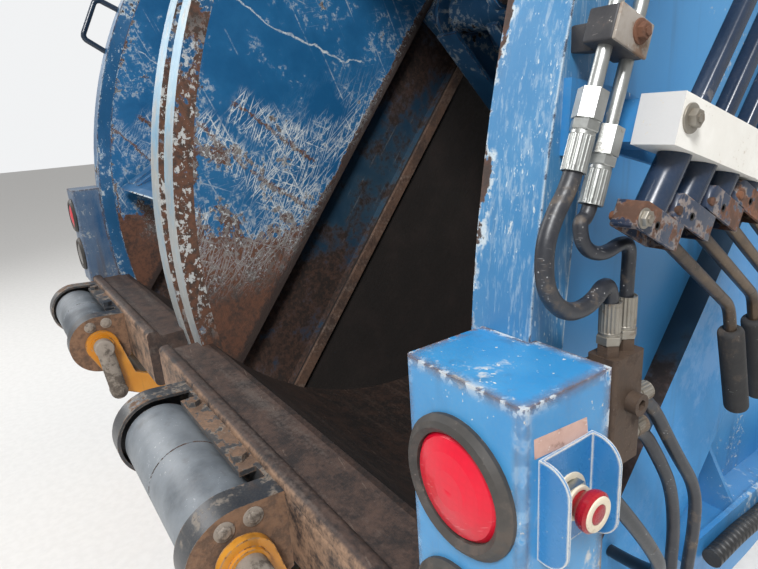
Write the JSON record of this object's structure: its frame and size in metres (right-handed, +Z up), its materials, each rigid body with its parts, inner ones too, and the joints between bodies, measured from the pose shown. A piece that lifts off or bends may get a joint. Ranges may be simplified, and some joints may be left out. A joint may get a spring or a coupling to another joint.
{
  "type": "garbage truck split tailgate",
  "caption": "Rear-loader tailgate with two side-by-side hoppers, sliding packers with hinged sweep panels, hand levers and cart lifters.",
  "frame": {"origin": "middle of the seal frame's bottom rail, on the front face that meets the truck body", "axes": "+X to the kerb side, +Y forward to the truck body, +Z up"},
  "size_m": [2.417, 2.066, 2.7642],
  "materials": {
    "blue_paint": "worn gloss",
    "worn_steel": "rusty, matt",
    "black_rubber": "matt",
    "red_lens": "gloss",
    "grey_lens": "gloss",
    "red_plastic": "satin",
    "zinc": "satin, soiled",
    "white_plastic": "matt, scratched",
    "black_plastic": "matt",
    "black_paint": "worn satin",
    "grey_iron": "matt",
    "grey_blue_paint": "scuffed satin",
    "rod_chrome": "polished",
    "orange_paint": "worn gloss"
  },
  "bodies": {
    "tailgate": {"side_wall_left": "blue_paint", "side_wall_right": "blue_paint", "divider_wall_left": "blue_paint", "divider_wall_right": "blue_paint", "rear_post_left": "blue_paint", "rear_post_right": "blue_paint", "divider_posts": "blue_paint", "track_channels_left": "blue_paint", "track_channels_right": "blue_paint", "track_ridges": "blue_paint", "hopper_floor_left": "worn_steel", "hopper_floor_right": "worn_steel", "floor_ribs": "worn_steel", "sill_left": "worn_steel", "sill_right": "worn_steel", "seal_frame": "blue_paint", "roof_panel": "blue_paint", "hood_panel": "blue_paint", "side_ribs": "blue_paint", "hinge_ears": "blue_paint", "lift_lugs": "blue_paint", "lock_lugs": "blue_paint", "carrier_barrels": "blue_paint", "cylinder_anchors": "blue_paint", "lamp_box_left": "blue_paint", "lamp_box_right": "blue_paint", "lamp_grommets": "black_rubber", "stop_lamps": "red_lens", "lower_lamps": "grey_lens", "estop_guard": "blue_paint", "estop_nut": "zinc", "estop_button": "red_plastic", "lever_guide": "white_plastic", "control_levers": "black_paint", "lever_grips": "black_plastic", "lever_bracket": "blue_paint", "valve_bank": "grey_iron", "hydraulic_tubes": "zinc", "hose_clamp": "zinc", "relief_valve": "zinc", "hydraulic_hoses": "black_rubber", "hose_bulkhead": "zinc", "conduit": "black_plastic", "grab_handle": "black_paint", "lifter_bracket_left": "worn_steel", "lifter_bracket_right": "worn_steel", "actuator_left": "grey_blue_paint", "actuator_right": "grey_blue_paint"},
    "packer_carrier_left": {"carrier_left": "blue_paint", "carrier_rods_left": "rod_chrome"},
    "packer_panel_left": {"sweep_panel_left": "blue_paint"},
    "panel_barrel_left": {"sweep_barrel_left": "blue_paint"},
    "panel_rod_left": {"sweep_rod_left": "rod_chrome"},
    "packer_carrier_right": {"carrier_right": "blue_paint", "carrier_rods_right": "rod_chrome"},
    "packer_panel_right": {"sweep_panel_right": "blue_paint"},
    "panel_barrel_right": {"sweep_barrel_right": "blue_paint"},
    "panel_rod_right": {"sweep_rod_right": "rod_chrome"},
    "cart_lifter_left": {"lifter_left": "orange_paint"},
    "cart_lifter_right": {"lifter_right": "orange_paint"}
  },
  "joints": [
    {"name": "carrier_slide_left", "type": "slide", "parent": "tailgate", "child": "packer_carrier_left", "axis": [0, 0.6157, 0.788], "range_m": [-0.195, 0.27]},
    {"name": "panel_swing_left", "type": "hinge", "parent": "packer_carrier_left", "child": "packer_panel_left", "pos_m": [-0.6325, -1.00813, 0.54237], "axis": [1, 0, 0], "range_deg": [0, 104]},
    {"name": "panel_barrel_pivot_left", "type": "hinge", "parent": "packer_carrier_left", "child": "panel_barrel_left", "pos_m": [-0.6325, -0.45403, 1.25158], "axis": [1, 0, 0], "range_deg": [-0.1, 2]},
    {"name": "panel_rod_slide_left", "type": "slide", "parent": "panel_barrel_left", "child": "panel_rod_left", "axis": [0, -0.7788, -0.6273], "range_m": [-0.001, 0.4775]},
    {"name": "carrier_slide_right", "type": "slide", "parent": "tailgate", "child": "packer_carrier_right", "axis": [0, 0.6157, 0.788], "range_m": [-0.465, 0]},
    {"name": "panel_swing_right", "type": "hinge", "parent": "packer_carrier_right", "child": "packer_panel_right", "pos_m": [0.5085, -0.8419, 0.75513], "axis": [1, 0, 0], "range_deg": [-104, 0]},
    {"name": "panel_barrel_pivot_right", "type": "hinge", "parent": "packer_carrier_right", "child": "panel_barrel_right", "pos_m": [0.5085, -0.2878, 1.46434], "axis": [1, 0, 0], "range_deg": [-2, 0.1]},
    {"name": "panel_rod_slide_right", "type": "slide", "parent": "panel_barrel_right", "child": "panel_rod_right", "axis": [0, -0.7578, -0.6525], "range_m": [-0.4775, 0.001]},
    {"name": "lifter_swing_left", "type": "hinge", "parent": "tailgate", "child": "cart_lifter_left", "pos_m": [-0.765, -1.974, -0.174], "axis": [-1, 0, 0], "range_deg": [0, 200]},
    {"name": "lifter_swing_right", "type": "hinge", "parent": "tailgate", "child": "cart_lifter_right", "pos_m": [0.427, -1.974, -0.174], "axis": [-1, 0, 0], "range_deg": [0, 200]}
  ],
  "couplings": [
    {"joint": "panel_barrel_pivot_left", "follows": "panel_swing_left", "ratio": 0.018075},
    {"joint": "panel_rod_slide_left", "follows": "panel_swing_left", "m_per_rad": 0.26289},
    {"joint": "panel_barrel_pivot_right", "follows": "panel_swing_right", "ratio": 0.018075},
    {"joint": "panel_rod_slide_right", "follows": "panel_swing_right", "m_per_rad": 0.26289}
  ]
}
